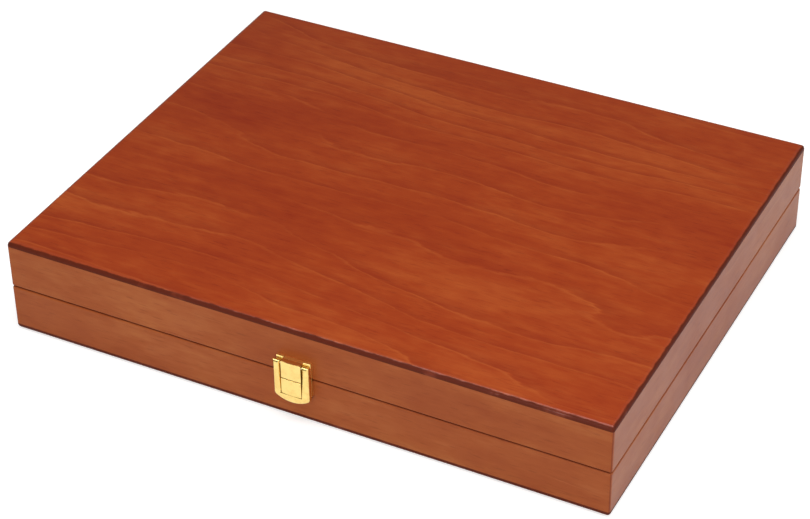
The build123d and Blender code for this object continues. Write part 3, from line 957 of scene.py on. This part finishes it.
# %% Cloth and flock
nap_inputs = [("Place", "Vector", None), ("Fibre", "Float", 1800.0), ("Weave", "Float", 0.0)]
nap_outputs = [("Shade", "Float"), ("Height", "Float")]
cloth_nap, entry, leave = new_group("cloth_nap", nap_inputs, nap_outputs)
fibre_inputs = {"Vector": entry["Place"], "Scale": entry["Fibre"], "Detail": 2}
fibres = put(cloth_nap, "ShaderNodeTexNoise", fibre_inputs).outputs[0]
pressed = noise(cloth_nap, entry["Place"], (18, 18, 18), detail=4, roughness=0.6)
lint = between(cloth_nap, noise(cloth_nap, entry["Place"], (420, 420, 420), detail=1), 0.72, 0.80)
parts = put(cloth_nap, "ShaderNodeSeparateXYZ", {"Vector": entry["Place"]}).outputs
threads_x = sums(cloth_nap, "SINE", sums(cloth_nap, "MULTIPLY", parts["X"], 6300.0))
threads_y = sums(cloth_nap, "SINE", sums(cloth_nap, "MULTIPLY", parts["Y"], 6300.0))
weave = sums(cloth_nap, "MULTIPLY", sums(cloth_nap, "MULTIPLY", threads_x, threads_y), entry["Weave"])
cloth_tone = sums(cloth_nap, "MULTIPLY_ADD", pressed, 0.8, sums(cloth_nap, "MULTIPLY", fibres, 0.5))
cloth_tone = sums(cloth_nap, "MULTIPLY_ADD", lint, 0.3, cloth_tone)
cloth_tone = sums(cloth_nap, "MULTIPLY_ADD", weave, 0.1, cloth_tone)
cloth_nap.links.new(between(cloth_nap, cloth_tone, 0.3, 1.0, smooth=False), leave["Shade"])
cloth_nap.links.new(sums(cloth_nap, "MULTIPLY_ADD", weave, 0.4, fibres), leave["Height"])


def cloth_material(name, dark, light, fibre, weave):
    """Napped cloth or flock."""
    material, tree, shader = new_material(
        name, Roughness=0.92, Specular_IOR_Level=0.15, Sheen_Weight=0.55, Sheen_Roughness=0.45
    )
    shader.inputs["Sheen Tint"].default_value = (0.55, 0.85, 0.62, 1)
    nap = use_group(tree, cloth_nap, Place=object_place(tree), Fibre=fibre, Weave=weave)
    tree.links.new(blend_colours(tree, nap["Shade"], dark, light), shader.inputs["Base Color"])
    bump = put(tree, "ShaderNodeBump", {"Height": nap["Height"], "Strength": 0.5, "Distance": 0.0002})
    tree.links.new(bump.outputs[0], shader.inputs["Normal"])
    return material


bed_flock = cloth_material("bed_flock", (0.010, 0.045, 0.022, 1), (0.030, 0.105, 0.052, 1), 2300.0, 0.0)
pad_cloth = cloth_material("pad_cloth", (0.012, 0.050, 0.026, 1), (0.034, 0.112, 0.058, 1), 1700.0, 1.0)

# %% Foam floor and beds
def soft_top(piece, level, radius):
    """Rolls over the edges round everything that is open at the top."""
    open_piece(piece, "EDGE")
    count = pick("EDGE", lambda ends: all_near(ends, 2, level), sharper=30)
    soften(radius, 3)
    close_piece(piece, 50)
    return count


sheet = merged_copy("foam_floor_flocked", "foam_floor")
soft_top(sheet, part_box("foam_floor")[1].z, 1.0 * millimetre)
sheet.data.materials.append(bed_flock)
hand_over(sheet, "base", "bed_flock", "foam_floor")
for side in ("left", "right"):
    for row in ("pawn", "knight_rook", "king_queen"):
        node_name = f"{side}_{row}_beds"
        beds = merged_copy(f"{node_name}_flocked", node_name)
        edges = soft_top(beds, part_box(node_name)[1].z, 0.8 * millimetre)
        beds.data.materials.append(bed_flock)
        hand_over(beds, "base", "bed_flock", node_name)
        print("softened", edges, "edges")

# %% [markdown]
# The lid's pad is thin foam under green baize, glued flat to the lid's board. Its free side
# is crowned and its sides pull in between the corners. It is blown up as cloth from a
# slightly smaller copy, held along the glued face, and its travel is capped.

# %% Lid pad
pad_low, pad_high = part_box("lid_pad")
pad = merged_copy("lid_pad_covered", "lid_pad")
inset = 1.6 * millimetre
pad_size = pad_high - pad_low
only(pad)
bpy.ops.object.mode_set(mode="EDIT")
bpy.ops.mesh.select_all(action="SELECT")
bpy.ops.transform.resize(
    value=(1 - 2 * inset / pad_size.x, 1 - 2 * inset / pad_size.y, 0.72),
    center_override=((pad_low.x + pad_high.x) / 2, (pad_low.y + pad_high.y) / 2, pad_high.z),
)
bpy.ops.object.mode_set(mode="OBJECT")
voxels = pad.modifiers.new("even_mesh", "REMESH")
voxels.mode = "VOXEL"
voxels.voxel_size = 5 * millimetre
only(pad)
bpy.ops.object.modifier_apply(modifier="even_mesh")
start_points = [corner.co.copy() for corner in pad.data.vertices]
glued = pad.vertex_groups.new(name="glued")
glued_level = pad_high.z - 2.6 * millimetre
held = [i for i, point in enumerate(start_points) if point.z > glued_level]
glued.add(held, 1.0, "REPLACE")
blown = pad.modifiers.new("blown_up", "CLOTH")
blown.settings.use_pressure = True
blown.settings.uniform_pressure_force = 4
blown.settings.effector_weights.gravity = 0
blown.settings.vertex_group_mass = "glued"
blown.settings.quality = 5
for step in range(1, 21):
    bpy.context.scene.frame_set(step)
only(pad)
bpy.ops.object.modifier_apply(modifier="blown_up")
bpy.context.scene.frame_set(1)
travel_cap = 5 * millimetre
for corner, start in zip(pad.data.vertices, start_points):
    move = corner.co - start
    if move.length > travel_cap:
        corner.co = start + move * (travel_cap / move.length)
    corner.co.x = max(pad_low.x, min(pad_high.x, corner.co.x))
    corner.co.y = max(pad_low.y, min(pad_high.y, corner.co.y))
    corner.co.z = min(pad_high.z, corner.co.z)
smooth = pad.modifiers.new("smooth", "SUBSURF")
smooth.levels = smooth.render_levels = 1
only(pad)
bpy.ops.object.modifier_apply(modifier="smooth")
bpy.ops.object.shade_smooth()
pad.data.materials.append(pad_cloth)
hand_over(pad, "lid", "pad_cloth", "lid_pad")
pad_points = [corner.co for corner in pad.data.vertices]
for name, pick_end in (("lowest", min), ("highest", max)):
    print("pad", name, "in mm", [round(1000 * pick_end(p[i] for p in pad_points), 2) for i in range(3)])
